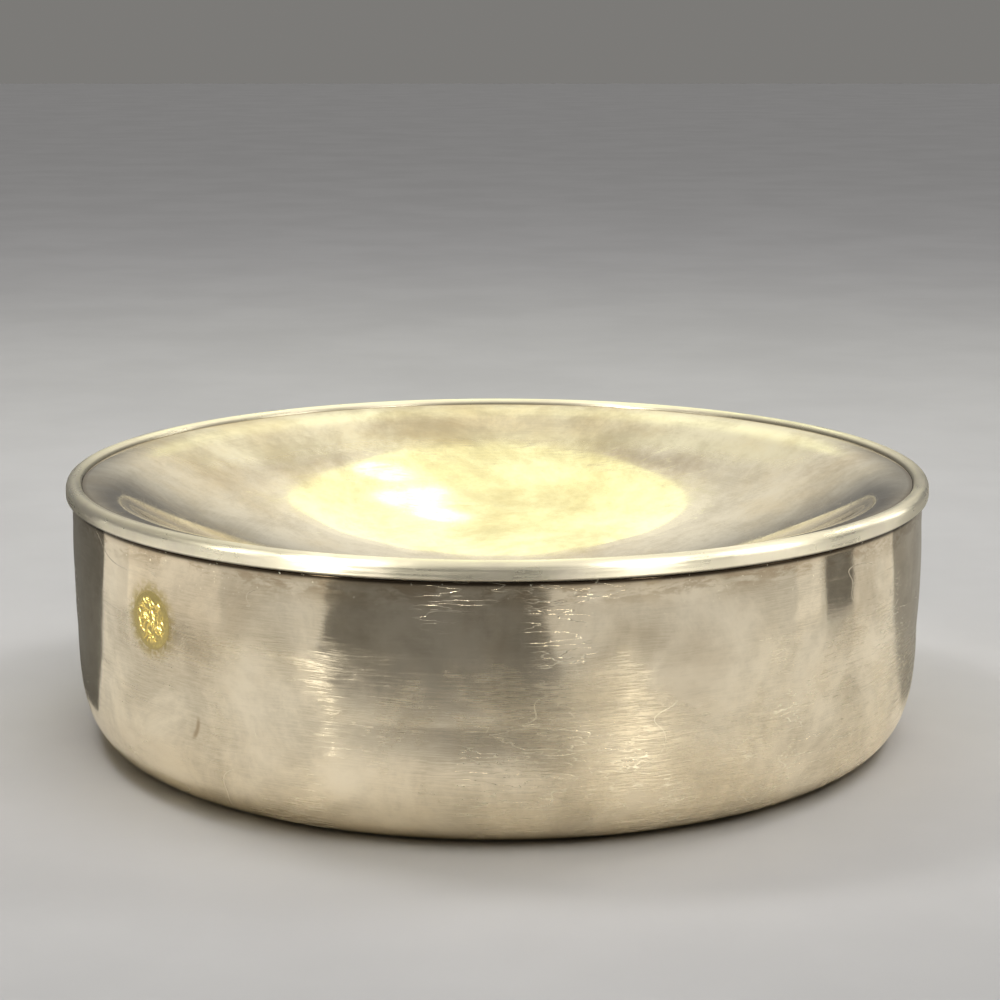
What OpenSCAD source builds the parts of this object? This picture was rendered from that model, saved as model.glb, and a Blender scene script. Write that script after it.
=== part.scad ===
// Low round drum with a lift-off concave dish: plated hollowware, all sizes in millimetres.
// +Z is up, the base stands on z = 0 and the axis of the vessel is the Z axis.

/* [Whole vessel] */
// Diameter over the rim bead
rim_d = 300; // [240:1:360]
// Height from the table to the top of the rim bead
total_h = 91; // [72:1:120]

/* [Drum] */
// How far the drum wall is set in from the outside of the bead, at the mouth
wall_set_in = 2.1; // [1.2:0.1:4]
// Sheet thickness of the drum
drum_t = 1.2; // [0.8:0.1:2]
// How far the wall swells between the mouth and the corner
wall_belly = 0.5; // [0:0.1:1]
// How much narrower the wall is at the corner than at the mouth
wall_taper = 0.4; // [0:0.1:2]
// Height of the round corner between wall and base
corner_h = 40; // [20:1:50]
// Width of the round corner, from the wall in to the flat base
corner_w = 21; // [12:1:40]
// Squareness of the corner, where 2 is an ellipse
corner_power = 2.9; // [2:0.1:3.5]
// Shadow gap between the top of the drum wall and the bead
seam_gap = 0.6; // [0.2:0.1:1.5]

/* [Mouth band] */
// Height of the band inside the drum's mouth
band_h = 9; // [5:0.5:15]
// Thickness of the band inside the drum's mouth
band_t = 2.6; // [1.5:0.1:4]

/* [Dish] */
// Depth of the dish below its edge flange
dish_depth = 42; // [25:1:55]
// Sheet thickness of the dish
dish_t = 1; // [0.6:0.1:1.6]
// Width of the lip that turns the hollow out to the flange
lip_w = 13.5; // [8:0.5:25]
// How far the flange lies below the top of the bead
flange_drop = 1.9; // [1:0.1:2.4]
// Width of the flat flange that enters the bead
flange_w = 2.2; // [1.6:0.1:4]

/* [Rim bead] */
// Width of the bead
bead_w = 5.6; // [4.6:0.1:8]
// Height of the bead
bead_h = 6; // [5.2:0.1:9]
// Radius on the bead's lower outside edge
bead_edge_r = 0.8; // [0.3:0.1:1.5]

/* [Locating collar] */
// How far the collar reaches below the seat
collar_h = 7; // [3:0.5:12]
// Thickness of the collar
collar_t = 1.5; // [1:0.1:3]
// Clearance between the collar and the mouth band, on the radius
collar_clearance = 0.4; // [0.2:0.05:1]

/* [Gilt seal] */
// Diameter of the round gilt seal
seal_d = 19; // [10:0.5:30]
// Thickness of the seal
seal_t = 0.4; // [0.2:0.1:0.8]
// How far the seal's centre lies below the top of the bead
seal_drop = 30; // [18:1:60]
// Bearing of the seal from the front of the vessel, negative to the left
seal_bearing = -47; // [-180:1:180]

/* [Hidden] */

// Radii and heights that the pieces share
rim_r = rim_d / 2;
mouth_r = rim_r - wall_set_in;
seat_z = total_h - bead_h;
band_low_z = seat_z - band_h;
drum_top_z = seat_z - seam_gap;
band_out_r = mouth_r - drum_t;
band_in_r = band_out_r - band_t;
bead_in_r = rim_r - bead_w;
flange_z = total_h - flange_drop;
flange_out_r = bead_in_r + flange_w / 2;
flange_in_r = bead_in_r - flange_w / 2;
seal_z = total_h - seal_drop;

// The lip and the hollow are two arcs that meet at one slope and end level at the flange
lip_slope = 2 * atan(dish_depth / flange_in_r);
hollow_edge_r = flange_in_r - lip_w;
hollow_r = hollow_edge_r / sin(lip_slope);
lip_r = lip_w / sin(lip_slope);

wall_steps = 8;
corner_steps = 28;
hollow_steps = 32;
lip_steps = 12;
crown_steps = 24;
edge_steps = 6;
solder_gap = 0.3;

// Outside of the drum from the foot of the mouth band down to the corner, as [radius, height]
function wall_point(u) = [
    mouth_r + wall_belly * 4 * u * (1 - u) - wall_taper * u,
    band_low_z + (corner_h - band_low_z) * u
];

// Outside of the round corner: a squared ellipse from the wall (a = 0) to the base (a = 90)
function corner_point(a) = [
    mouth_r - wall_taper - corner_w * (1 - pow(cos(a), 2 / corner_power)),
    corner_h * (1 - pow(sin(a), 2 / corner_power))
];

// The mouth itself is straight, so that the band lies flat against it
wall_path = concat(
    [[mouth_r, drum_top_z]], [for (i = [0 : wall_steps]) wall_point(i / wall_steps)]
);
corner_path = [for (i = [1 : corner_steps]) corner_point(90 * i / corner_steps)];
drum_path = concat(wall_path, corner_path);
// The stretch of the drum's outside that the seal can lie on
seal_path = [for (p = drum_path) if (p[1] > seal_z - seal_d) p];

// Top face of the dish from the middle out to the flange
hollow_path = [
    for (i = [1 : hollow_steps])
        let (a = lip_slope * i / hollow_steps)
        [hollow_r * sin(a), flange_z - dish_depth + hollow_r * (1 - cos(a))]
];
lip_path = [
    for (i = [lip_steps - 1 : -1 : 0])
        let (a = lip_slope * i / lip_steps)
        [flange_in_r - lip_r * sin(a), flange_z - lip_r * (1 - cos(a))]
];
dish_path = concat(hollow_path, lip_path);

// Direction along a path at one of its points, as a unit vector
function path_way(path, i) =
    let (v = path[min(i + 1, len(path) - 1)] - path[max(i - 1, 0)]) v / norm(v);

// A path moved sideways, to the right of its own direction, by a distance
function beside(path, distance) = [
    for (i = [0 : len(path) - 1])
        let (w = path_way(path, i)) path[i] + distance * [w[1], -w[0]]
];

// Points along an arc, from one bearing to another
function arc(centre, radius, from, to, steps) = [
    for (i = [0 : steps])
        let (a = from + (to - from) * i / steps) centre + radius * [cos(a), sin(a)]
];

function reversed(path) = [for (i = [len(path) - 1 : -1 : 0]) path[i]];

// A closed ring turned round the axis from an inner radius to an outer one
module ring(in_r, out_r, low_z, high_z) {
    rotate_extrude($fn = 180)
        translate([in_r, low_z]) square([out_r - in_r, high_z - low_z]);
}

// Wall, round corner and flat base, spun from one sheet
module drum_shell() {
    below = beside(drum_path, drum_t);
    inside = [for (i = [2 : len(below) - 1]) [below[i][0], max(below[i][1], drum_t)]];
    inside_mouth = [[band_out_r, band_low_z], [band_out_r, drum_top_z]];
    color("silver")
        rotate_extrude($fn = 180)
            polygon(concat(drum_path, [[0, 0], [0, drum_t]], reversed(inside), inside_mouth));
}

// Band soldered inside the mouth: the dish stands on its top face
module drum_mouth_band() {
    color("darkgray") ring(band_in_r, band_out_r, band_low_z, seat_z);
}

// Thin round seal that follows the curve of the wall
module gilt_seal() {
    color("goldenrod")
        intersection() {
            rotate_extrude($fn = 180)
                polygon(concat(seal_path, reversed(beside(seal_path, -seal_t))));
            rotate([0, 0, seal_bearing])
                translate([0, 0, seal_z]) rotate([90, 0, 0])
                    cylinder(d = seal_d, h = rim_r, $fn = 96);
        }
}

// Hollow, lip and edge flange, spun from one sheet
module dish_shell() {
    top = concat([[0, flange_z - dish_depth]], dish_path, [[flange_out_r, flange_z]]);
    under = [for (p = beside(dish_path, dish_t)) [p[0], min(p[1], flange_z - dish_t)]];
    color("gainsboro")
        rotate_extrude($fn = 180)
            polygon(concat(
                top, [[flange_out_r, flange_z - dish_t]],
                reversed(under), [[0, flange_z - dish_depth - dish_t]]
            ));
}

// D-section moulding: a half-round crown, a flat face, and a rebate inside for the flange
module rim_bead() {
    crown_r = bead_w / 2;
    crown = arc([rim_r - crown_r, total_h - crown_r], crown_r, 180, 0, crown_steps);
    foot = arc([rim_r - bead_edge_r, seat_z + bead_edge_r], bead_edge_r, 0, -90, edge_steps);
    color("whitesmoke")
        rotate_extrude($fn = 180)
            difference() {
                polygon(concat(crown, foot, [[bead_in_r, seat_z]]));
                translate([bead_in_r - bead_w, flange_z - dish_t])
                    square([bead_w + flange_out_r - bead_in_r, dish_t]);
            }
}

// Band soldered to the bead's inner side: it drops into the mouth and centres the dish
module locating_collar() {
    out_r = band_in_r - collar_clearance;
    color("gray") {
        ring(out_r - collar_t, out_r, seat_z - collar_h, seat_z);
        ring(out_r - collar_t, bead_in_r, seat_z, flange_z - dish_t - solder_gap);
    }
}

drum_shell();
drum_mouth_band();
gilt_seal();
dish_shell();
rim_bead();
locating_collar();
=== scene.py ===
"""Looks of a low round drum with a lift-off concave dish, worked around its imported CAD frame."""

import math

import bpy
import numpy as np
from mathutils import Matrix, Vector


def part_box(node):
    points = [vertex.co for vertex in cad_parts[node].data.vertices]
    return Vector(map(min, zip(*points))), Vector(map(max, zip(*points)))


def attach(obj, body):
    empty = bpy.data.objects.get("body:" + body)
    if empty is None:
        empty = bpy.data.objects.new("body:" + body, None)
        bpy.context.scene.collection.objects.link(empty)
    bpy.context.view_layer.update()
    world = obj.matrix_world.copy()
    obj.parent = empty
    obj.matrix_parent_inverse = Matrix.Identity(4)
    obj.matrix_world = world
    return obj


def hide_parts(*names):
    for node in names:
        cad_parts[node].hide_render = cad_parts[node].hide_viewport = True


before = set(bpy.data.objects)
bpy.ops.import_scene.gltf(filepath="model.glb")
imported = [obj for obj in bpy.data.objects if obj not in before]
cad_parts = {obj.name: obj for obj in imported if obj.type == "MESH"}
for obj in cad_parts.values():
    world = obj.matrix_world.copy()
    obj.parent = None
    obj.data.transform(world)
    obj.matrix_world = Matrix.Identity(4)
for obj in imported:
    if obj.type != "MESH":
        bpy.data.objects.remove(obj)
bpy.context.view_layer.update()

bl_info = {
    "name": "Drum Dish",
    "version": (1, 0, 0),
    "blender": (4, 5, 0),
    "location": "3D View > Sidebar > Drum Dish",
    "description": "Plated drum with a lift-off concave dish, its finishes and its studio stage",
    "category": "Object",
}

MM = 0.001
CORNER_POWER = 2.9
FLANGE_WIDTH = 2.2 * MM
BEAD_LOW, BEAD_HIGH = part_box("rim_bead")
SEAL_LOW, SEAL_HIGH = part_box("gilt_seal")
BAND_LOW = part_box("drum_mouth_band")[0]
DRUM_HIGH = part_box("drum_shell")[1]
DISH_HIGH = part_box("dish_shell")[1]
COLUMNS = 384


def size(name, text, default, low=0.0, high=1.0):
    """A length property in metres, shown in the scene's unit."""
    return bpy.props.FloatProperty(
        name=name, description=text, default=default, min=low, max=high,
        subtype="DISTANCE", unit="LENGTH", precision=5,
    )


def share(name, text, default):
    """A property from 0 to 1."""
    return bpy.props.FloatProperty(
        name=name, description=text, default=default, min=0.0, max=1.0, subtype="FACTOR"
    )


def colour(name, text, default):
    """A linear colour property."""
    return bpy.props.FloatVectorProperty(
        name=name, description=text, default=default, size=3, min=0.0, max=1.0, subtype="COLOR"
    )


class DrumDishSizes(bpy.types.PropertyGroup):
    """Sizes of the pieces, in metres, as the CAD model has them."""

    rim_radius: size("Rim radius", "From the axis to the outside of the bead", round(BEAD_HIGH.x, 4))
    total_height: size("Height", "From the table to the top of the bead", round(BEAD_HIGH.z, 4))
    mouth_radius: size("Mouth radius", "Outside of the drum at its mouth", 0.1479)
    drum_sheet: size("Drum sheet", "Thickness of the drum's sheet", 0.0012)
    belly: size("Belly", "How far the wall swells below the mouth", 0.0005)
    taper: size("Taper", "How much narrower the wall is at the corner", 0.0004)
    corner_height: size("Corner height", "Height of the round corner", 0.040)
    corner_width: size("Corner width", "Width of the round corner", 0.021)
    dish_depth: size("Dish depth", "Depth of the dish below its flange", 0.042)
    dish_sheet: size("Dish sheet", "Thickness of the dish's sheet", 0.001)
    lip_width: size("Lip width", "Width of the lip that turns out to the flange", 0.0135)
    flange_radius: size("Flange radius", "Where the flange enters the bead", 0.1455)
    bead_width: size("Bead width", "Width of the rim bead", 0.0056)
    bead_edge: size("Bead edge radius", "Radius on the bead's lower outer edge", 0.0008)
    seal_diameter: size("Seal diameter", "Diameter of the round gilt seal", 0.019)
    seal_thickness: size("Seal thickness", "Greatest thickness of the seal", 0.0004)
    sheet_wave: size("Sheet wave", "How far the spun sheet strays from true", 0.00012)
    dent_depth: size("Dent depth", "Depth of the deepest soft dent", 0.00028)


class DrumDishFinish(bpy.types.PropertyGroup):
    """Colours and wear of the finishes."""

    plate: colour("Plate", "Colour of the polished plate", (0.90, 0.85, 0.74))
    wall: colour("Wall", "Colour of the drum's brushed plate", (0.87, 0.805, 0.68))
    wall_worn: colour("Worn wall", "Colour of the wall where it is thin and warm", (0.76, 0.67, 0.52))
    bead: colour("Bead", "Colour of the rim bead, rubbed bright", (0.96, 0.92, 0.77))
    plate_worn: colour("Worn plate", "Colour where the plate is thin and warm", (0.82, 0.72, 0.54))
    film: colour("Film", "Colour of the grey-brown film in the haze", (0.47, 0.42, 0.33))
    tarnish: colour("Tarnish", "Colour of the brown tarnish", (0.34, 0.25, 0.15))
    # Painted shade: the near-black colour of the shaded lines under the bead, at the bead's foot and
    # along its joint with the dish.
    crease_shade: colour("Painted_shade", "Colour of the dirt in the seam", (0.06, 0.045, 0.03))
    dull: colour("Dull plate", "Colour of the bands inside the mouth", (0.70, 0.67, 0.60))
    gilt: colour("Gilt", "Colour of the gilt seal", (0.92, 0.72, 0.24))
    gilt_low: colour("Gilt ground", "Colour between the seal's raised strokes", (0.45, 0.37, 0.16))
    polish: share("Wall roughness", "Roughness of the drum between its brush lines", 0.11)
    dish_polish: share("Dish roughness", "Roughness of the dish between its rub marks", 0.035)
    floor: colour("Floor", "Colour of the plain floor", (0.54, 0.54, 0.55))


def sizes():
    """The scene's size properties."""
    return bpy.context.scene.drum_dish_sizes


def finish():
    """The scene's finish properties."""
    return bpy.context.scene.drum_dish_finish


# Profiles and surfaces


def even_steps(path, count):
    """The same line as path, with count points at equal distances along it."""
    path = np.asarray(path, float)
    run = run_along(path)
    at = np.linspace(0.0, run[-1], count)
    return np.stack([np.interp(at, run, path[:, 0]), np.interp(at, run, path[:, 1])], 1)


def run_along(path):
    """Distance of each point along a path from its start."""
    return np.concatenate([[0.0], np.cumsum(np.hypot(*np.diff(path, axis=0).T))])


def path_side(path):
    """Unit vectors to the right of a path's own direction, from the differences of its neighbours."""
    way = np.gradient(np.asarray(path, float), axis=0)
    way /= np.maximum(np.hypot(way[:, 0], way[:, 1]), 1e-12)[:, None]
    return np.stack([way[:, 1], -way[:, 0]], 1)


def arc(centre, radius, start, end, count):
    """Points on a circle of a radius round centre, from one bearing in degrees to another."""
    a = np.radians(np.linspace(start, end, count))
    return np.stack([centre[0] + radius * np.cos(a), centre[1] + radius * np.sin(a)], 1)


def soft_step(value, low, high):
    """0 below low, 1 above high, and 3t^2 - 2t^3 between them."""
    t = np.clip((value - low) / (high - low), 0.0, 1.0)
    return t * t * (3.0 - 2.0 * t)


def waves(around, along, seed, span, count=14):
    """Slow waves of a spun sheet, from -1 to 1: a sum of cosines, each with a whole number of turns
    round the axis and a wavelength between span / 6 and span along the profile, weaker when short."""
    rng = np.random.default_rng(seed)
    total = np.zeros(np.broadcast(around, along).shape)
    weight = 0.0
    for turns in rng.integers(2, 24, count):
        length = span / rng.uniform(1.0, 6.0)
        strength = 1.0 / (1.0 + 0.25 * turns)
        turn, slide = rng.uniform(0.0, 2.0 * math.pi, 2)
        rounds = np.cos(turns * around + turn)
        total += strength * rounds * np.cos(2.0 * math.pi * along / length + slide)
        weight += strength
    return total / weight


def closed_mesh(name, points, body, material, flip=False, closed_profile=False, sharp=35.0):
    """A mesh from points of shape (profile, columns, 3), joined round the axis. A profile that isn't
    closed starts and ends on the axis, where each end row becomes one point and a fan of triangles."""
    rows, columns = points.shape[:2]
    near = np.arange(columns)
    far = (near + 1) % columns
    if closed_profile:
        corners = points.reshape(-1, 3)
        row = np.arange(rows)
        after = (row + 1) % rows
        quads = grid_faces(row * columns, after * columns, near, far)
        triangles = np.zeros((0, 3), int)
    else:
        corners = np.concatenate([points[:1, 0], points[1:-1].reshape(-1, 3), points[-1:, 0]])
        start = 1 + np.arange(rows - 3) * columns
        quads = grid_faces(start, start + columns, near, far)
        last = len(corners) - 1
        edge = last - columns
        first_fan = np.stack([np.zeros(columns, int), 1 + far, 1 + near], 1)
        last_fan = np.stack([edge + near, edge + far, np.full(columns, last)], 1)
        triangles = np.concatenate([first_fan, last_fan])
    if flip:
        quads, triangles = quads[:, ::-1], triangles[:, ::-1]
    return mesh_piece(name, corners, quads, triangles, body, material, sharp)


def grid_faces(low, high, near, far):
    """Corner numbers of the four-sided faces between rows low and high and columns near and far."""
    a = low[:, None] + near[None, :]
    b = low[:, None] + far[None, :]
    c = high[:, None] + far[None, :]
    d = high[:, None] + near[None, :]
    return np.stack([a, b, c, d], 2).reshape(-1, 4)


def mesh_piece(name, corners, quads, triangles, body, material, sharp):
    """A smooth object at the origin from arrays of corners and faces, riding on a body."""
    mesh = bpy.data.meshes.new(name)
    mesh.vertices.add(len(corners))
    mesh.vertices.foreach_set("co", corners.astype(np.float32).ravel())
    loops = np.concatenate([quads.ravel(), triangles.ravel()])
    totals = np.concatenate([np.full(len(quads), 4), np.full(len(triangles), 3)])
    starts = np.concatenate([[0], np.cumsum(totals)[:-1]])
    mesh.loops.add(len(loops))
    mesh.loops.foreach_set("vertex_index", loops.astype(np.int32))
    mesh.polygons.add(len(totals))
    mesh.polygons.foreach_set("loop_start", starts.astype(np.int32))
    mesh.polygons.foreach_set("loop_total", totals.astype(np.int32))
    mesh.update(calc_edges=True)
    mesh.validate()
    mesh.shade_smooth()
    mesh.set_sharp_from_angle(angle=math.radians(sharp))
    mesh.materials.append(material)
    piece = bpy.data.objects.new(name, mesh)
    bpy.context.scene.collection.objects.link(piece)
    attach(piece, body)
    return piece


def turned(path, columns=COLUMNS):
    """Points of a path of (radius, height) carried round the Z axis; bearing 0 looks along -Y."""
    bearing = np.linspace(-math.pi, math.pi, columns, endpoint=False)
    x = path[:, 0][:, None] * np.sin(bearing)
    y = -path[:, 0][:, None] * np.cos(bearing)
    z = np.repeat(path[:, 1][:, None], columns, 1)
    return bearing, np.stack([x, y, z], 2)


def drum_outside():
    """Outside of the drum from the mouth down to the flat base, as (radius, height): straight behind
    the band, then a wall with a parabolic belly and a taper, then a squared ellipse of CORNER_POWER."""
    s = sizes()
    low = BAND_LOW.z
    u = np.linspace(0.0, 1.0, 60)
    wall = np.stack([
        s.mouth_radius + s.belly * 4.0 * u * (1.0 - u) - s.taper * u,
        low + (s.corner_height - low) * u,
    ], 1)
    a = np.radians(np.linspace(0.0, 90.0, 2000))[1:]
    power = 2 / CORNER_POWER
    corner = np.stack([
        s.mouth_radius - s.taper - s.corner_width * (1.0 - np.clip(np.cos(a), 0, 1) ** power),
        s.corner_height * (1.0 - np.sin(a) ** power),
    ], 1)
    return even_steps(np.concatenate([wall, corner]), 96)


# Soft dents in the wall: bearing in degrees, distance down the wall and width in millimetres, and
# depth as a share of the deepest
DENTS = (
    (-78, 20, 9, 1.0), (-31, 49, 7, 0.5), (-3, 38, 8, 0.55), (22, 27, 10, 0.7), (39, 52, 6, 0.5),
    (64, 18, 8, 0.6), (118, 30, 11, 0.8), (171, 42, 9, 0.7), (-140, 24, 10, 0.8),
)


def drum_stray(bearing, run):
    """How far the drum's sheet stands off its true profile, at a bearing and a distance down the wall:
    slow waves, and soft round dents that go inwards. It fades out at the mouth and on the base."""
    s = sizes()
    hold = soft_step(run, 0.0, 0.012) * (1.0 - soft_step(run, 0.072, 0.084))
    stray = s.sheet_wave * waves(bearing, run, 5, 0.09)
    for at, down, wide, depth in DENTS:
        turn = (bearing - math.radians(at) + math.pi) % (2.0 * math.pi) - math.pi
        far = np.hypot(turn * s.mouth_radius, run - down * MM) / (wide * MM)
        stray = stray - depth * s.dent_depth * np.exp(-far ** 2)
    return stray * hold


def drum_skin_points():
    """The drum as one closed skin: base and outside up to the mouth, over the sheet's edge, and down
    the inside again, with both faces of the sheet pushed sideways by the same stray."""
    s = sizes()
    top = DRUM_HIGH.z
    out = drum_outside()
    side = path_side(out)
    run = run_along(out)
    inner = out + side * s.drum_sheet
    inner[:, 1] = np.maximum(inner[:, 1], s.drum_sheet)
    base_rings = 25
    base = np.linspace(0.0, 1.0, base_rings + 1)[:-1] ** 0.7
    r_in = s.mouth_radius - s.drum_sheet
    edge = 0.25 * MM
    mouth_out = [[s.mouth_radius, top - edge - k * MM] for k in (0.0, 2.0, 4.0, 6.0)][::-1]
    over = np.concatenate([
        arc((s.mouth_radius - edge, top - edge), edge, 0, 90, 5)[1:],
        arc((r_in + edge, top - edge), edge, 90, 180, 5),
    ])
    path = np.concatenate([
        np.stack([base * out[-1, 0], np.zeros(base_rings)], 1), out[::-1], mouth_out,
        over, [[r_in, top - 3 * MM], [r_in, top - 6 * MM]], inner,
        np.stack([base[::-1] * inner[-1, 0], np.full(base_rings, s.drum_sheet)], 1),
    ])
    base_run = np.full(base_rings, run[-1])
    base_side = np.tile([0.0, 1.0], (base_rings, 1))
    plain = np.zeros(len(mouth_out) + len(over) + 2)
    reach = np.concatenate([base_run, run[::-1], plain, run, base_run])
    aside = np.concatenate([base_side, side[::-1], np.zeros((len(plain), 2)), side, base_side])
    bearing, points = turned(path)
    stray = -drum_stray(bearing[None, :], reach[:, None])
    points[..., 0] += stray * aside[:, 0][:, None] * np.sin(bearing)
    points[..., 1] -= stray * aside[:, 0][:, None] * np.cos(bearing)
    points[..., 2] += stray * aside[:, 1][:, None]
    return points


def dish_top():
    """Top face of the dish from the middle to the flange, as (radius, height): a ball-shaped hollow,
    then a reversed arc for the lip, both meeting at one slope and ending level."""
    s = sizes()
    level = DISH_HIGH.z
    flange_in = s.flange_radius - FLANGE_WIDTH
    slope = 2.0 * math.atan(s.dish_depth / flange_in)
    hollow_r = (flange_in - s.lip_width) / math.sin(slope)
    lip_r = s.lip_width / math.sin(slope)
    a = np.linspace(0.0, slope, 400)
    hollow = np.stack([hollow_r * np.sin(a), level - s.dish_depth + hollow_r * (1.0 - np.cos(a))], 1)
    b = np.linspace(slope, 0.0, 120)[1:]
    lip = np.stack([flange_in - lip_r * np.sin(b), level - lip_r * (1.0 - np.cos(b))], 1)
    return even_steps(np.concatenate([hollow, lip]), 120)


def dish_skin_points():
    """The dish as one closed skin: the under face from the middle out, round the flange's edge and
    back over the top face, with slow waves that fade out at the flange."""
    s = sizes()
    level = DISH_HIGH.z
    top = dish_top()
    side = path_side(top)
    under = top + side * s.dish_sheet
    under[:, 1] = np.minimum(under[:, 1], level - s.dish_sheet)
    under[0, 0] = 0.0
    rim = np.array([[s.flange_radius, level - s.dish_sheet], [s.flange_radius, level]])
    path = np.concatenate([under, rim, top[::-1]])
    run = np.linspace(0.0, 1.0, len(top))
    reach = np.concatenate([run, [1.0, 1.0], run[::-1]])
    bearing, points = turned(path)
    hold = (1.0 - soft_step(reach, 0.80, 0.97)) * soft_step(reach, 0.0, 0.25)
    stray = waves(bearing[None, :], reach[:, None] * 0.15, 11, 0.15) * hold[:, None]
    points[..., 2] += 0.8 * s.sheet_wave * stray
    return points


def bead_points():
    """The bead's closed section carried round the rim: crown, outer face, lower edge, bottom, inner
    face and the rebate for the flange. The crown has a few nicks, which only go inwards."""
    s = sizes()
    crown_r = s.bead_width / 2.0
    rim, top, seat = s.rim_radius - 0.05 * MM, s.total_height, BEAD_LOW.z
    level = DISH_HIGH.z
    inner = rim - s.bead_width
    crown_steps = 22
    crown = arc((rim - crown_r, top - crown_r), crown_r, 173, 0, crown_steps)
    foot = arc((rim - s.bead_edge, seat + s.bead_edge), s.bead_edge, 0, -90, 7)
    path = np.concatenate([
        crown, [[rim, seat + 0.0016]], foot, [[inner + 0.0001, seat], [inner, seat + 0.0001]],
        [[inner, level - s.dish_sheet], [s.flange_radius, level - s.dish_sheet],
         [s.flange_radius, level], [inner + 0.02 * MM, level]],
    ])
    bearing, points = turned(path, 720)
    rng = np.random.default_rng(23)
    nicks = 34
    centre = np.array([rim - crown_r, top - crown_r])
    pull = np.zeros((len(path), len(bearing)))
    angle = np.degrees(np.arctan2(path[:, 1] - centre[1], path[:, 0] - centre[0]))[:, None]
    for at, side, wide, deep in zip(rng.uniform(-math.pi, math.pi, nicks), rng.uniform(0, 120, nicks),
                                    rng.uniform(0.5, 1.8, nicks), rng.uniform(0.02, 0.10, nicks)):
        turn = (bearing[None, :] - at + math.pi) % (2.0 * math.pi) - math.pi
        far = (turn * rim / (wide * MM)) ** 2 + ((angle - side) / 26.0) ** 2
        pull = pull + deep * MM * np.exp(-far)
    slow = 0.02 * MM * (1.0 + waves(bearing[None, :], np.zeros((1, 1)), 31, 1.0))
    outside = (np.arange(len(path)) < crown_steps)[:, None] * np.clip((angle + 5) / 20, 0, 1)
    pull = (pull + slow) * outside
    away = (path - centre) / np.maximum(np.hypot(*(path - centre).T), 1e-9)[:, None]
    points[..., 0] -= pull * away[:, 0][:, None] * np.sin(bearing)
    points[..., 1] += pull * away[:, 0][:, None] * np.cos(bearing)
    points[..., 2] -= pull * away[:, 1][:, None]
    return points


def seal_points():
    """The seal as a low relief on the wall: a round pad of rings and spokes. Its height is the
    highest of many short bent ridges, each e to the power of -(across/w)^2 - (along/l)^4, with
    across measured from a parabola, and falls off raggedly towards its edge. Its under face lies
    just inside the wall."""
    s = sizes()
    middle = (SEAL_LOW + SEAL_HIGH) / 2.0
    at = math.atan2(middle.x, -middle.y)
    rings, spokes = 72, 300
    reach = np.linspace(0.0, 1.0, rings)[:, None]
    turn = np.linspace(0.0, 2.0 * math.pi, spokes, endpoint=False)[None, :]
    reach_mm = s.seal_diameter / 2.0 / MM
    p = reach * np.cos(turn) * reach_mm
    q = reach * np.sin(turn) * reach_mm
    rng = np.random.default_rng(7)
    ridges = 70
    strokes = np.zeros(p.shape)
    for at_p, at_q, lean, bend in zip(rng.uniform(-6.0, 6.0, ridges), rng.uniform(-6.5, 6.5, ridges),
                                      rng.uniform(0.0, math.pi, ridges),
                                      rng.uniform(-0.45, 0.45, ridges)):
        along = (p - at_p) * math.cos(lean) + (q - at_q) * math.sin(lean)
        across = (q - at_q) * math.cos(lean) - (p - at_p) * math.sin(lean) - bend * along ** 2
        strokes = np.maximum(strokes, np.exp(-(across / 0.26) ** 2 - (along / 1.3) ** 4))
    weave = np.sin(3.9 * p + 2.0 * np.sin(2.7 * q)) * np.sin(4.3 * q + 1.7 * np.sin(3.1 * p))
    grain = 0.5 + 0.5 * weave
    relief = np.clip(0.90 * strokes + 0.16 * grain, 0.0, 1.0)
    ragged = 0.90 + 0.06 * np.sin(5 * turn) * np.sin(11 * turn + 1.0) + 0.03 * np.sin(23 * turn)
    fade = 1.0 - soft_step(reach, ragged - 0.22, ragged - 0.02)
    tint = 1.0 - soft_step(reach, 0.86, 1.0) + 0.0 * turn
    height = s.seal_thickness * (0.04 + 0.90 * relief * fade) * (1.0 - soft_step(reach, 0.93, 1.0))
    z = middle.z + q * MM
    outside = drum_outside()
    run = run_along(outside)
    wall_r = np.interp(-z, -outside[:, 1], outside[:, 0])
    down = np.interp(-z, -outside[:, 1], run)
    bearing = at + p * MM / s.mouth_radius
    wall_r = wall_r + drum_stray(bearing, down)
    faces = []
    for stand in (height, np.full_like(height, -0.05 * MM)):
        r = wall_r + stand
        faces.append(np.stack([r * np.sin(bearing), -r * np.cos(bearing), z + 0.0 * r], 2))
    points = np.concatenate([faces[0], faces[1][::-1]])
    shine = np.concatenate([relief * fade, np.zeros_like(height)])
    cover = np.concatenate([tint, tint[::-1]])
    return points, shine, cover


# Finishes


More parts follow.
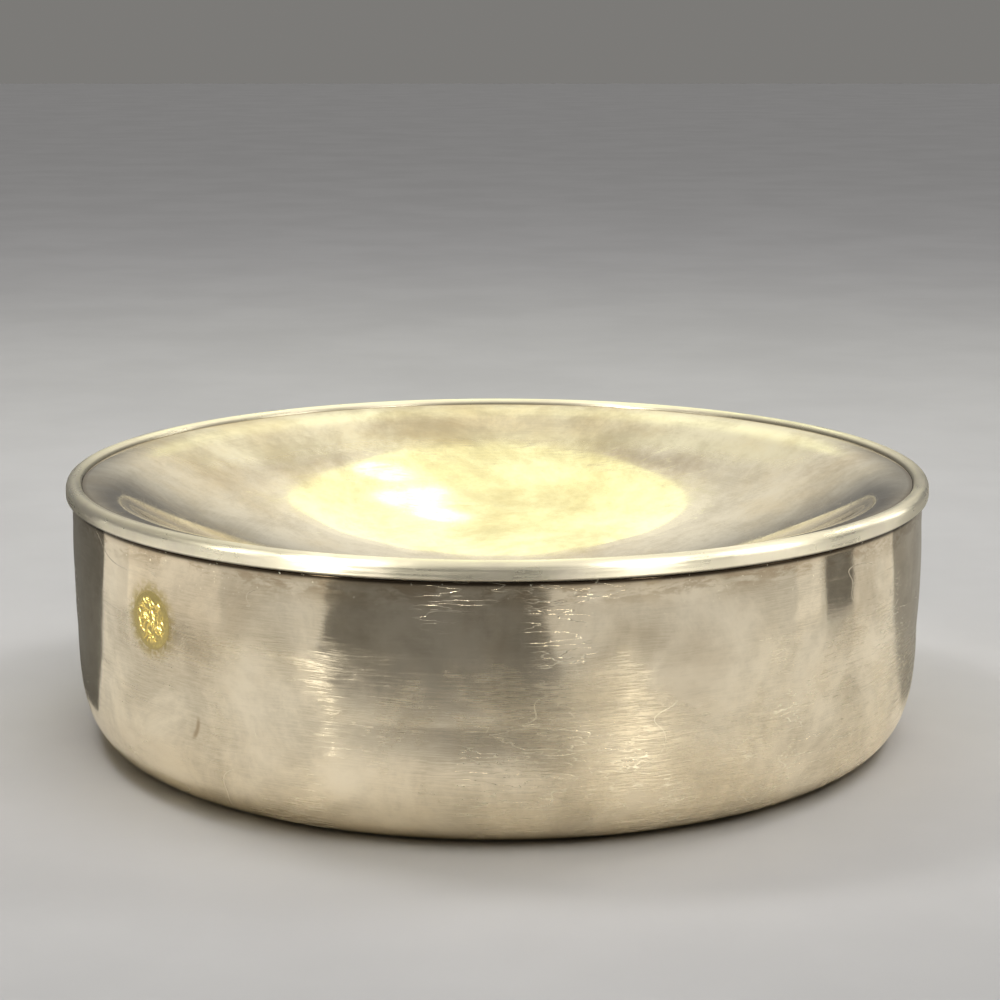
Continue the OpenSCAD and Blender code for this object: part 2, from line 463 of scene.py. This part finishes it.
class Recipe:
    """One finish: a single Principled shader, and short calls that add the nodes that feed it."""

    def __init__(self, name):
        self.material = bpy.data.materials.new(name)
        self.material.use_nodes = True
        self.tree = self.material.node_tree
        self.tree.nodes.clear()
        output = self.tree.nodes.new("ShaderNodeOutputMaterial")
        self.shader = self.tree.nodes.new("ShaderNodeBsdfPrincipled")
        self.tree.links.new(self.shader.outputs["BSDF"], output.inputs["Surface"])
        self.place = self.tree.nodes.new("ShaderNodeTexCoord").outputs["Object"]

    def put(self, socket, value):
        """Links a socket or sets its constant."""
        if isinstance(value, bpy.types.NodeSocket):
            self.tree.links.new(value, socket)
        elif socket.type == "RGBA" and len(value) == 3:
            socket.default_value = (*value, 1.0)
        else:
            socket.default_value = value

    def set(self, **values):
        """Sets or links the shader's own sockets, with _ for a space in their names."""
        for name, value in values.items():
            self.put(self.shader.inputs[name.replace("_", " ")], value)

    def node(self, kind, inputs=(), out=0, **settings):
        """A node with its settings and inputs by name or number; returns one of its outputs."""
        made = self.tree.nodes.new(kind)
        for name, value in settings.items():
            setattr(made, name, value)
        for name, value in dict(inputs).items():
            self.put(made.inputs[name], value)
        return made.outputs[out]

    def stretch(self, scale, turn=(0, 0, 0), move=(0, 0, 0)):
        """The place on the piece, turned, moved and scaled."""
        return self.node("ShaderNodeMapping", {"Vector": self.place, "Location": move,
                                               "Rotation": turn, "Scale": scale})

    def scaled(self, vector, scale):
        """A place multiplied by a scale along each axis."""
        return self.node("ShaderNodeMapping", {"Vector": vector, "Scale": scale})

    def round_axis(self):
        """The direction round the vessel's axis, along which the sheet was turned and brushed."""
        return self.node("ShaderNodeTangent", direction_type="RADIAL", axis="Z")

    def noise(self, vector, scale=1.0, detail=3.0, rough=0.5, bend=0.0):
        """Cloudy noise from 0 to 1."""
        return self.node("ShaderNodeTexNoise", {"Vector": vector, "Scale": scale, "Detail": detail,
                                                "Roughness": rough, "Distortion": bend})

    def spread(self, value, low, high, to_low=0.0, to_high=1.0, smooth=True):
        """Maps low..high to to_low..to_high and holds the ends."""
        return self.node("ShaderNodeMapRange", {"Value": value, "From Min": low, "From Max": high,
                                                "To Min": to_low, "To Max": to_high},
                         interpolation_type="SMOOTHSTEP" if smooth else "LINEAR")

    def sum(self, kind, a, b, c=None):
        """One step of arithmetic: ADD, MULTIPLY, MAXIMUM, ABSOLUTE and so on."""
        inputs = {0: a, 1: b}
        if c is not None:
            inputs[2] = c
        return self.node("ShaderNodeMath", inputs, operation=kind)

    def mix(self, amount, a, b):
        """Colour a where amount is 0 and b where it is 1."""
        return self.node("ShaderNodeMix", {0: amount, 6: a, 7: b}, out=2, data_type="RGBA")

    def hairlines(self, vector, scale, width, detail=2.0, bend=0.0):
        """1 on the thin wandering lines where a noise passes its middle value, 0 beside them."""
        field = self.noise(vector, scale, detail, 0.5, bend)
        away = self.sum("ABSOLUTE", self.sum("SUBTRACT", field, 0.5), 0.0)
        return self.spread(away, 0.0, width, 1.0, 0.0)

    def from_axis(self):
        """Distance from the vessel's axis."""
        level = {0: self.place, 1: (1.0, 1.0, 0.0)}
        flat = self.node("ShaderNodeVectorMath", level, operation="MULTIPLY")
        return self.node("ShaderNodeVectorMath", {0: flat}, out=1, operation="LENGTH")

    def height(self, low, high):
        """0 below a height and 1 above another, in metres, with a soft step between."""
        z = self.node("ShaderNodeSeparateXYZ", {0: self.place}, out=2)
        return self.spread(z, low, high)

    def near(self, point, inner, outer):
        """1 within a distance of a point on the piece and 0 beyond a farther one."""
        far = self.node("ShaderNodeVectorMath", {0: self.place, 1: point}, 1, operation="DISTANCE")
        return self.spread(far, inner, outer, 1.0, 0.0)

    def in_patches(self, value, scale, low, high, detail=2.0):
        """A value kept only in the clouds of a noise."""
        clouds = self.spread(self.noise(self.place, scale, detail), low, high)
        return self.sum("MULTIPLY", value, clouds)

    def tint(self, tone, other, where, amount):
        """A tone with an amount of another mixed in where a value is 1."""
        return self.mix(self.sum("MULTIPLY", where, amount), tone, other)

    def metal(self, tone, rough, relief, brushed=0.0):
        """Sets the shader for metal, with its gloss drawn out upright where it is brushed level."""
        self.set(Base_Color=tone, Metallic=1.0, Roughness=rough, Normal=relief)
        if brushed:
            self.set(Anisotropic=brushed, Anisotropic_Rotation=0.25, Tangent=self.round_axis())
        return self.material

    def bump(self, value, distance, strength=1.0, under=None):
        """Small relief from a value, over another relief if there is one."""
        inputs = {"Height": value, "Distance": distance, "Strength": strength}
        if under is not None:
            inputs["Normal"] = under
        return self.node("ShaderNodeBump", inputs)


def on_wall(bearing, height, radius=0.148):
    """A point on the drum's wall at a bearing in degrees from the front and a height in metres."""
    a = math.radians(bearing)
    return (radius * math.sin(a), -radius * math.cos(a), height)


# Scuffs on the wall: bearing in degrees, height and reach in metres, and slant in radians
SCUFFS = (
    (38.0, 0.031, 0.030, 0.5), (62.0, 0.050, 0.022, -0.4), (18.0, 0.022, 0.020, 0.3),
    (-52.0, 0.020, 0.018, -0.6), (150.0, 0.040, 0.030, 0.4),
)
SEAL_MIDDLE = (-47.0, 0.061)
CRESCENT_CENTRE = (-42.0, 0.0325)
CRESCENT_MIDDLE = (-38.6, 0.0290)


def wall_finish():
    """Plated wall: short level brush strokes, haze in clouds, scratches, tarnish spots under the seam,
    and painted shade in a band under the bead that ends in a near-black line.
    """
    f = finish()
    r = Recipe("brushed_plate")
    drift = r.noise(r.place, 26.0, 2.0)
    lift = r.node("ShaderNodeCombineXYZ", {2: r.sum("MULTIPLY", drift, 0.0034)})
    drifted = r.node("ShaderNodeVectorMath", {0: r.place, 1: lift}, operation="ADD")
    strokes = r.noise(r.scaled(drifted, (120.0, 120.0, 2700.0)), 1.0, 3.0, 0.6)
    long_strokes = r.noise(r.scaled(drifted, (22.0, 22.0, 1300.0)), 1.0, 3.0, 0.65)
    broad = r.noise(r.scaled(drifted, (9.0, 9.0, 300.0)), 1.0, 3.0)
    clouds = r.noise(r.place, 19.0, 6.0, 0.64, 0.4)
    spots = r.noise(r.stretch((70.0, 70.0, 190.0)), 1.0, 6.0, 0.70, 0.3)
    haze = r.spread(clouds, 0.38, 0.66)
    rubbed = r.spread(strokes, 0.42, 0.62)
    rough = r.sum("MULTIPLY_ADD", rubbed, r.spread(haze, 0.0, 1.0, 0.04, 0.15), f.polish)
    rough = r.sum("MULTIPLY_ADD", r.spread(long_strokes, 0.50, 0.66), 0.06, rough)
    rough = r.sum("MULTIPLY_ADD", haze, 0.10, rough)
    scratch = r.hairlines(r.stretch((15.0, 15.0, 45.0)), 1.0, 0.0025, 1.0, 0.3)
    scratch = r.in_patches(scratch, 26.0, 0.52, 0.62)
    fine = r.hairlines(r.stretch((60.0, 60.0, 420.0), (0.25, 0.12, 0.0)), 1.0, 0.012, 2.0)
    fine = r.in_patches(fine, 22.0, 0.52, 0.62)
    cuts = r.sum("MAXIMUM", scratch, fine)
    for bearing, height, reach, turn in SCUFFS:
        scuff = r.hairlines(r.stretch((120.0, 120.0, 420.0), (turn, turn, 0.0)), 1.0, 0.030, 2.0)
        scuff = r.in_patches(scuff, 95.0, 0.50, 0.58, 3.0)
        scuff = r.sum("MULTIPLY", scuff, r.near(on_wall(bearing, height), reach * 0.3, reach))
        cuts = r.sum("MAXIMUM", cuts, scuff)
    rough = r.sum("MULTIPLY_ADD", cuts, 0.16, rough)
    tone = r.mix(r.spread(clouds, 0.36, 0.70), f.wall, f.wall_worn)
    film = r.spread(r.noise(r.place, 33.0, 9.0, 0.70, 0.4), 0.38, 0.66)
    film = r.sum("MULTIPLY", film, r.spread(strokes, 0.30, 0.60, 0.55, 1.0))
    tone = r.tint(tone, f.film, film, 0.66)
    bloom = r.noise(r.stretch((24.0, 24.0, 30.0), (0, 0, 0), (4.0, 2.0, 1.0)), 1.0, 8.0, 0.66, 0.8)
    rough = r.sum("MULTIPLY_ADD", r.spread(bloom, 0.50, 0.70), 0.08, rough)
    halo = r.near(on_wall(*SEAL_MIDDLE), 0.0090, 0.0145)
    halo = r.in_patches(halo, 500.0, 0.25, 0.60, 3.0)
    tone = r.mix(halo, tone, f.gilt_low)
    under_seam = r.sum("MULTIPLY", r.height(0.073, 0.0835), r.spread(spots, 0.42, 0.56))
    # Painted shade: a band that darkens the wall up to the seam under the bead.
    seam_shade_band = r.height(0.0805, 0.0840)
    patch = r.sum("MULTIPLY", r.spread(r.noise(r.place, 14.0, 5.0, 0.62), 0.50, 0.68), 0.45)
    patch = r.sum("MULTIPLY", patch, r.height(0.030, 0.060))
    # Stain mixes real tarnish spots and patches with the painted shade band under the seam.
    stain_and_seam_shade = r.sum("MAXIMUM", r.sum("MAXIMUM", under_seam, patch), r.sum("MULTIPLY", seam_shade_band, 0.9))
    tone = r.tint(tone, f.tarnish, stain_and_seam_shade, 0.62)
    # Painted shade: a near-black line on the wall just under the bead.
    tone = r.mix(r.height(0.0828, 0.0838), tone, f.crease_shade)
    specks = r.in_patches(r.height(0.068, 0.080), 700.0, 0.70, 0.74)
    tone = r.mix(r.sum("MAXIMUM", specks, r.sum("MULTIPLY", cuts, 0.6)), tone, f.bead)
    centre = on_wall(*CRESCENT_CENTRE)
    crescent = r.sum("SUBTRACT", r.near(centre, 0.0082, 0.0094), r.near(centre, 0.0068, 0.0081))
    crescent = r.sum("MULTIPLY", crescent, r.near(on_wall(*CRESCENT_MIDDLE), 0.0025, 0.0058))
    tone = r.tint(tone, f.tarnish, crescent, 0.7)
    rough = r.sum("MULTIPLY_ADD", stain_and_seam_shade, 0.08, rough)
    rough = r.sum("MULTIPLY", rough, r.spread(r.height(0.056, 0.070), 0.0, 1.0, 1.0, 0.42))
    relief = r.bump(strokes, 0.000008, 1.0)
    relief = r.bump(broad, 0.00003, 0.6, relief)
    relief = r.bump(r.noise(r.place, 60.0, 2.0), 0.0006, 0.10, relief)
    relief = r.bump(r.sum("MULTIPLY", cuts, -1.0), 0.00003, 1.0, relief)
    return r.metal(tone, rough, relief, brushed=0.9)


def dish_finish():
    """Plated dish: nearly a mirror, with rub marks round the axis, hazy clouds, fine scratches, and
    painted shade at its edge next to the bead.
    """
    f = finish()
    r = Recipe("polished_plate")
    out = r.from_axis()
    x = r.node("ShaderNodeSeparateXYZ", {0: r.place})
    y = x.node.outputs[1]
    ring = r.node("ShaderNodeCombineXYZ", {0: x, 1: y, 2: out})
    lines = r.noise(r.scaled(ring, (16.0, 16.0, 1500.0)), 1.0, 3.0, 0.6)
    clouds = r.noise(r.place, 17.0, 6.0, 0.64, 0.2)
    haze = r.spread(clouds, 0.42, 0.66)
    rough = r.sum("MULTIPLY_ADD", r.spread(lines, 0.50, 0.70), 0.05, f.dish_polish)
    rough = r.sum("MULTIPLY_ADD", haze, 0.05, rough)
    cuts = None
    for turn, at in ((0.5, 3.0), (-0.7, 8.0), (1.4, 12.0)):
        laid = r.stretch((14.0, 190.0, 40.0), (0.0, 0.0, turn), (at, 0.0, 0.0))
        thin = r.hairlines(laid, 1.0, 0.010, 1.0)
        where = r.noise(r.stretch((1, 1, 1), (0, 0, 0), (at, at, 0)), 24.0, 2.0)
        thin = r.sum("MULTIPLY", thin, r.spread(where, 0.52, 0.60))
        cuts = thin if cuts is None else r.sum("MAXIMUM", cuts, thin)
    rough = r.sum("MULTIPLY_ADD", cuts, 0.14, rough)
    lip = r.sum("MULTIPLY", r.spread(out, 0.112, 0.128), r.spread(y, 0.02, 0.08))
    rough = r.sum("MULTIPLY_ADD", lip, 0.38, rough)
    tone = r.mix(r.spread(clouds, 0.36, 0.70), f.plate, f.plate_worn)
    patch = r.spread(r.noise(r.place, 14.0, 9.0, 0.70, 0.3), 0.44, 0.70)
    tone = r.tint(tone, f.tarnish, patch, 0.58)
    film = r.spread(r.noise(r.place, 40.0, 10.0, 0.76, 0.25), 0.42, 0.64)
    film = r.sum("MULTIPLY", film, r.spread(lines, 0.30, 0.60, 0.65, 1.0))
    tone = r.tint(tone, f.film, film, 0.44)
    rough = r.sum("MULTIPLY_ADD", film, 0.05, rough)
    # Painted shade, in the tarnish colour: the dish darkens at its edge where it meets the bead.
    tone = r.mix(r.spread(out, 0.1425, 0.1442, 0.0, 0.7), tone, f.tarnish)
    relief = r.bump(lines, 0.0000015, 1.0)
    relief = r.bump(r.noise(r.place, 45.0, 2.0), 0.0006, 0.03, relief)
    return r.metal(tone, rough, relief)


def bead_finish():
    """Plated bead: worn bright, with soft streaks along it, a few fine marks, and painted shade at its
    foot and along its joint with the dish.
    """
    f = finish()
    s = sizes()
    r = Recipe("bead_plate")
    clouds = r.noise(r.place, 60.0, 4.0, 0.6)
    streaks = r.noise(r.stretch((30.0, 30.0, 1500.0)), 1.0, 3.0, 0.6)
    marks = r.hairlines(r.stretch((160.0, 160.0, 500.0)), 1.0, 0.012, 1.0)
    marks = r.in_patches(marks, 40.0, 0.54, 0.64)
    rough = r.spread(clouds, 0.35, 0.70, 0.26, 0.38)
    rough = r.sum("MULTIPLY_ADD", r.spread(streaks, 0.45, 0.65), 0.14, rough)
    rough = r.sum("MULTIPLY_ADD", marks, 0.12, rough)
    # Painted shade: the bead is darkened at its foot, where it sits on the wall.
    foot = r.sum("SUBTRACT", 1.0, r.height(BEAD_LOW.z + 0.0002, BEAD_LOW.z + 0.0009))
    tone = r.mix(r.spread(clouds, 0.40, 0.68), f.bead, f.plate)
    tone = r.tint(tone, f.crease_shade, foot, 0.8)
    inner = s.rim_radius - s.bead_width
    # Painted shade: a dark line along the bead's inner edge, where it meets the dish.
    joint_shade = r.spread(r.from_axis(), inner + 0.0002, inner + 0.0009, 1.0, 0.0)
    tone = r.tint(tone, f.crease_shade, joint_shade, 0.6)
    relief = r.bump(r.noise(r.place, 200.0, 2.0), 0.00004, 0.3)
    relief = r.bump(streaks, 0.00001, 1.0, relief)
    return r.metal(tone, rough, relief, brushed=0.8)


def inner_finish():
    """Dull plate inside the mouth: turning lines, grey film and brown patches."""
    f = finish()
    r = Recipe("dull_plate")
    lines = r.noise(r.stretch((20.0, 20.0, 1800.0)), 1.0, 3.0, 0.6)
    clouds = r.noise(r.place, 28.0, 5.0, 0.62, 0.4)
    rough = r.sum("MULTIPLY_ADD", r.spread(lines, 0.40, 0.68), 0.12, 0.30)
    rough = r.sum("MULTIPLY_ADD", r.spread(clouds, 0.40, 0.68), 0.10, rough)
    tone = r.mix(r.spread(clouds, 0.48, 0.74, 0.0, 0.55), f.dull, f.tarnish)
    relief = r.bump(lines, 0.00002, 1.0)
    return r.metal(tone, rough, relief)


def gilt_finish():
    """Gilt seal: bright on its raised strokes, olive between them, and feathered into the plate."""
    f = finish()
    r = Recipe("gilt")
    shine = r.node("ShaderNodeAttribute", out=2, attribute_name="raised")
    cover = r.node("ShaderNodeAttribute", out=2, attribute_name="cover")
    grain = r.noise(r.place, 650.0, 4.0, 0.70)
    bright = r.spread(r.sum("MULTIPLY_ADD", grain, 0.9, shine), 0.38, 1.05)
    tone = r.mix(bright, f.gilt_low, f.gilt)
    covered = r.spread(r.sum("MULTIPLY_ADD", grain, 0.6, cover), 0.3, 1.0)
    tone = r.mix(covered, f.gilt_low, tone)
    rough = r.sum("MULTIPLY_ADD", covered, r.spread(bright, 0.0, 1.0, 0.22, 0.08), 0.18)
    relief = r.bump(grain, 0.0001, 0.5)
    return r.metal(tone, rough, relief, brushed=0.6)


def floor_finish():
    """Pale matt floor with a very faint mottle."""
    f = finish()
    r = Recipe("pale_floor")
    mottle = r.noise(r.place, 7.0, 4.0, 0.6)
    pale = tuple(min(1.0, c * 1.04) for c in f.floor)
    deep = tuple(c * 0.97 for c in f.floor)
    tone = r.mix(r.spread(mottle, 0.3, 0.7), deep, pale)
    r.set(Base_Color=tone, Roughness=0.75, Specular_IOR_Level=0.0)
    return r.material


# Pieces and stage


class OBJECT_OT_drum_skin(bpy.types.Operator):
    """Make the drum's sheet: flat base, round corner and brushed wall"""

    bl_idname = "object.drum_skin"
    bl_label = "Drum"

    def execute(self, context):
        piece = closed_mesh("drum_skin", drum_skin_points(), "drum", wall_finish())
        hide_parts("drum_shell")
        return {"FINISHED"}


class OBJECT_OT_dish_skin(bpy.types.Operator):
    """Make the dish's sheet: ball-shaped hollow, lip and flange"""

    bl_idname = "object.dish_skin"
    bl_label = "Dish"

    def execute(self, context):
        piece = closed_mesh("dish_skin", dish_skin_points(), "dish", dish_finish())
        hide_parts("dish_shell")
        return {"FINISHED"}


class OBJECT_OT_bead_moulding(bpy.types.Operator):
    """Make the rim bead that is soldered to the dish's flange"""

    bl_idname = "object.bead_moulding"
    bl_label = "Rim bead"

    def execute(self, context):
        piece = closed_mesh("bead_moulding", bead_points(), "dish", bead_finish(),
                            flip=True, closed_profile=True)
        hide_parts("rim_bead")
        return {"FINISHED"}


class OBJECT_OT_seal_relief(bpy.types.Operator):
    """Make the gilt seal as a crinkled low relief on the wall"""

    bl_idname = "object.seal_relief"
    bl_label = "Gilt seal"

    def execute(self, context):
        points, shine, cover = seal_points()
        piece = closed_mesh("seal_relief", points, "drum", gilt_finish(),
                            flip=True, sharp=60.0)
        for name, field in (("raised", shine), ("cover", cover)):
            values = np.concatenate([field[:1, 0], field[1:-1].ravel(), field[-1:, 0]])
            layer = piece.data.attributes.new(name, "FLOAT", "POINT")
            layer.data.foreach_set("value", values.astype(np.float32))
        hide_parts("gilt_seal")
        return {"FINISHED"}


class OBJECT_OT_mouth_fittings(bpy.types.Operator):
    """Finish the mouth band and the locating collar in dull plate"""

    bl_idname = "object.mouth_fittings"
    bl_label = "Mouth fittings"

    def execute(self, context):
        material = inner_finish()
        for name in ("drum_mouth_band", "locating_collar"):
            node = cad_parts[name]
            if not node.material_slots:
                raise RuntimeError(f"{name} has no material slot")
            for one in node.material_slots:
                one.material = material
        return {"FINISHED"}


def lamp(name, centre, size_x, size_y, power, tint, aim=(0, 0, 0), shape="RECTANGLE",
         shown=True, lights_floor=True):
    """An area light at centre that faces aim, with its width level. shown says whether the metal
    mirrors it and lights_floor whether it lights what is matt."""
    data = bpy.data.lights.new(name, "AREA")
    data.shape = shape
    data.size, data.size_y = size_x, size_y
    data.energy = power
    data.color = tint
    light = bpy.data.objects.new(name, data)
    light.location = centre
    light.rotation_euler = (Vector(aim) - Vector(centre)).to_track_quat("-Z", "Y").to_euler()
    light.visible_camera = False
    light.visible_glossy = shown
    light.visible_diffuse = lights_floor
    bpy.context.scene.collection.objects.link(light)


def wide_sky(name, way, strength, spread, tint):
    """A soft far light that reaches the whole floor and that the metal doesn't mirror."""
    data = bpy.data.lights.new(name, "SUN")
    data.energy, data.angle, data.color = strength, spread, tint
    light = bpy.data.objects.new(name, data)
    light.location = (0.0, 0.0, 2.0)
    light.rotation_euler = Vector(way).to_track_quat("-Z", "Y").to_euler()
    light.visible_glossy = False
    bpy.context.scene.collection.objects.link(light)


def plain_cloth(name, lightness):
    """Matt cloth of a given lightness, a little warm."""
    r = Recipe(name)
    tone = (lightness, lightness * 0.96, lightness * 0.88)
    r.set(Base_Color=tone, Roughness=0.9, Specular_IOR_Level=0.0)
    return r.material


def plain_sheet(name, corners, height, material):
    """A flat four-cornered sheet of the stage at a height."""
    mesh = bpy.data.meshes.new(name)
    mesh.from_pydata([(x, y, height) for x, y in corners], [], [(0, 1, 2, 3)])
    mesh.materials.append(material)
    sheet = bpy.data.objects.new(name, mesh)
    bpy.context.scene.collection.objects.link(sheet)
    return sheet


# Floor: how far it reaches from the axis, and its height just under the base
FLOOR_REACH = 9.0
FLOOR_HEIGHT = -0.0001
# Cloths that only the metal mirrors: name, lightness, height and corners on the floor
CLOTHS = (
    ("pale_apron", 0.80, 0.0003, ((-2.5, -2.5), (2.5, -2.5), (2.5, 1.2), (-2.5, 1.2))),
    ("front_cloth", 0.24, 0.0006, ((-0.172, -0.232), (0.062, -0.232), (0.17, -1.3), (-1.0, -1.3))),
    ("left_cloth", 0.15, 0.0006, ((-0.16, -0.02), (-1.4, 0.75), (-1.4, 1.8), (-0.16, 1.8))),
    ("right_cloth", 0.32, 0.0006, ((0.16, -0.01), (0.16, 1.8), (1.4, 1.8), (1.4, 0.78))),
    ("left_white_card", 1.0, 0.0009, ((-0.322, -0.185), (-0.349, 0.012), (-0.60, 0.10), (-0.58, -0.24))),
    ("right_white_card", 1.0, 0.0009, ((0.338, -0.142), (0.349, -0.098), (0.60, -0.09), (0.58, -0.172))),
    ("right_dark_card", 0.22, 0.0009, ((0.350, -0.085), (0.349, -0.030), (0.60, 0.045), (0.60, -0.075))),
)
# Colours of the lights
GLOW = (0.80, 0.91, 0.32)
PALE_GLOW = (1.0, 0.97, 0.72)
WHITE = (1.0, 1.0, 1.0)
SOFT = (1.0, 0.98, 0.95)
CREAM = (1.0, 0.95, 0.80)
# Lights: name, centre, width, length and power in watts, with a colour for the ceiling lamp's
CEILING = (
    ("ceiling_lamp", (0.006, 0.822, 0.960), 0.380, 0.80, 0.50, GLOW),
    ("ceiling_lamp_halo", (0.006, 0.826, 0.965), 0.424, 0.875, 0.13, PALE_GLOW),
)
KEY_LIGHTS = (
    ("left_key_box", (-0.50, 0.22, 1.05), 0.24, 0.24, 3.4),
    ("right_key_box", (0.70, 0.30, 0.95), 0.24, 0.24, 2.8),
    ("fill_soft_box", (-0.1, 0.25, 1.9), 1.2, 1.2, 9.5),
)
STRIPS = (
    ("left_strip", (-0.92, -0.97, 0.75), 0.15, 1.0, 17.0),
    ("right_strip", (0.80, -1.08, 0.75), 0.18, 0.8, 9.0),
    ("right_soft_box", (1.28, -0.40, 0.75), 0.34, 0.8, 5.0),
    ("right_back_strip", (1.05, 0.62, 0.55), 0.10, 0.8, 1.4),
    ("left_side_strip", (-1.20, -0.45, 0.65), 0.24, 0.7, 2.0),
)
# Bulbs of the ceiling lamp: x, y, z and width; their power is in watts for a width of one metre,
# and goes with the width squared
BULBS = (
    (0.105, 0.60, 0.84, 0.05), (0.075, 0.75, 0.84, 0.06),
    (0.06, 0.675, 0.84, 0.04), (0.045, 0.84, 0.84, 0.05),
)
BULB_POWER = 3.8
# Tones of the surroundings, and each step between them: direction axis, where it starts and ends,
# the tone before it and the tone after it
OVERHEAD = (0.90, 0.85, 0.72)
LEFT_OVERHEAD = (0.42, 0.395, 0.33)
LEVEL = (0.20, 0.195, 0.185)
FRONT = (0.24, 0.23, 0.21)
STEPS = (
    ("X", -0.75, -0.05, LEFT_OVERHEAD, OVERHEAD),
    ("Z", 0.08, 0.50, LEVEL, None),
    ("Y", -0.98, -0.55, FRONT, None),
)
# Camera: lens and sensor in millimetres, distance from the axis and height over the bead in rim
# radii, and its tilt down and turn to the right in degrees
LENS, SENSOR = 82.8, 36.0
EYE_BACK, EYE_UP = 5.317, 1.015
EYE_TILT, EYE_TURN = 11.68, 0.066


def surroundings(tree):
    """A plain studio round the object: light overhead, dimmer above the left, and grey at eye level
    and in front."""
    way = tree.nodes.new("ShaderNodeTexCoord").outputs["Generated"]
    parts = tree.nodes.new("ShaderNodeSeparateXYZ")
    tree.links.new(way, parts.inputs[0])
    before = None
    for axis, low, high, start, end in STEPS:
        step = tree.nodes.new("ShaderNodeMapRange")
        step.interpolation_type = "SMOOTHSTEP"
        step.inputs["From Min"].default_value = low
        step.inputs["From Max"].default_value = high
        tree.links.new(parts.outputs[axis], step.inputs["Value"])
        mix = tree.nodes.new("ShaderNodeMix")
        mix.data_type = "RGBA"
        tree.links.new(step.outputs[0], mix.inputs[0])
        mix.inputs[6].default_value = (*start, 1.0)
        if end is None:
            tree.links.new(before, mix.inputs[7])
        else:
            mix.inputs[7].default_value = (*end, 1.0)
        before = mix.outputs[2]
    tree.links.new(before, tree.nodes["Background"].inputs["Color"])


class OBJECT_OT_studio_stage(bpy.types.Operator):
    """Make the floor, the soft lights, the surroundings and the camera"""

    bl_idname = "object.studio_stage"
    bl_label = "Studio stage"

    def execute(self, context):
        s = sizes()
        rim = (0.0, 0.0, s.total_height)
        far = FLOOR_REACH
        corners = ((-far, -far), (far, -far), (far, far), (-far, far))
        plain_sheet("studio_floor", corners, FLOOR_HEIGHT, floor_finish())

        for name, centre, width, length, power, tint in CEILING:
            lamp(name, centre, width, length, power, tint, rim, "ELLIPSE")
        for number, (x, y, z, width) in enumerate(BULBS):
            power = BULB_POWER * width ** 2
            lamp(f"ceiling_bulb_{number}", (x, y, z), width, width * 1.6, power, WHITE, rim, "ELLIPSE")
        for name, centre, width, length, power in KEY_LIGHTS:
            lamp(name, centre, width, length, power, SOFT, shown=False)
        wide_sky("wide_sky", (-0.35, 0.25, -1.0), 1.35, 0.9, SOFT)
        for name, lightness, height, corners in CLOTHS:
            cloth = plain_sheet(name, corners, height, plain_cloth(name, lightness))
            cloth.visible_camera = cloth.visible_diffuse = cloth.visible_shadow = False
        for name, centre, width, length, power in STRIPS:
            lamp(name, centre, width, length, power, CREAM, (0, 0, 0.05), lights_floor=False)

        world = bpy.data.worlds.new("studio_surroundings")
        world.use_nodes = True
        surroundings(world.node_tree)
        world.cycles_visibility.diffuse = False
        context.scene.world = world
        context.scene.view_settings.view_transform = "Standard"

        view = bpy.data.cameras.new("view")
        view.lens, view.sensor_width = LENS, SENSOR
        eye = bpy.data.objects.new("view", view)
        eye.location = (0.0, -EYE_BACK * s.rim_radius, s.total_height + EYE_UP * s.rim_radius)
        eye.rotation_euler = (math.radians(90.0 - EYE_TILT), 0.0, -math.radians(EYE_TURN))
        context.scene.collection.objects.link(eye)
        context.scene.camera = eye
        return {"FINISHED"}


class VIEW3D_PT_drum_dish(bpy.types.Panel):
    """Lists the pieces and the properties they are made from"""

    bl_label = "Drum Dish"
    bl_idname = "VIEW3D_PT_drum_dish"
    bl_space_type = "VIEW_3D"
    bl_region_type = "UI"
    bl_category = "Drum Dish"

    def draw(self, context):
        for operator in OPERATORS:
            self.layout.operator(operator.bl_idname)
        for group in (context.scene.drum_dish_sizes, context.scene.drum_dish_finish):
            box = self.layout.box()
            for name in group.__annotations__:
                box.prop(group, name)


OPERATORS = (
    OBJECT_OT_studio_stage,
    OBJECT_OT_drum_skin,
    OBJECT_OT_dish_skin,
    OBJECT_OT_bead_moulding,
    OBJECT_OT_seal_relief,
    OBJECT_OT_mouth_fittings,
)
CLASSES = (DrumDishSizes, DrumDishFinish, *OPERATORS, VIEW3D_PT_drum_dish)


def register():
    """Adds the classes and the scene's properties."""
    for one in CLASSES:
        bpy.utils.register_class(one)
    bpy.types.Scene.drum_dish_sizes = bpy.props.PointerProperty(type=DrumDishSizes)
    bpy.types.Scene.drum_dish_finish = bpy.props.PointerProperty(type=DrumDishFinish)


def unregister():
    """Takes them away again."""
    del bpy.types.Scene.drum_dish_finish
    del bpy.types.Scene.drum_dish_sizes
    for one in reversed(CLASSES):
        bpy.utils.unregister_class(one)


def main():
    register()
    for operator in OPERATORS:
        group, name = operator.bl_idname.split(".")
        getattr(getattr(bpy.ops, group), name)()


if __name__ == "__main__":
    main()
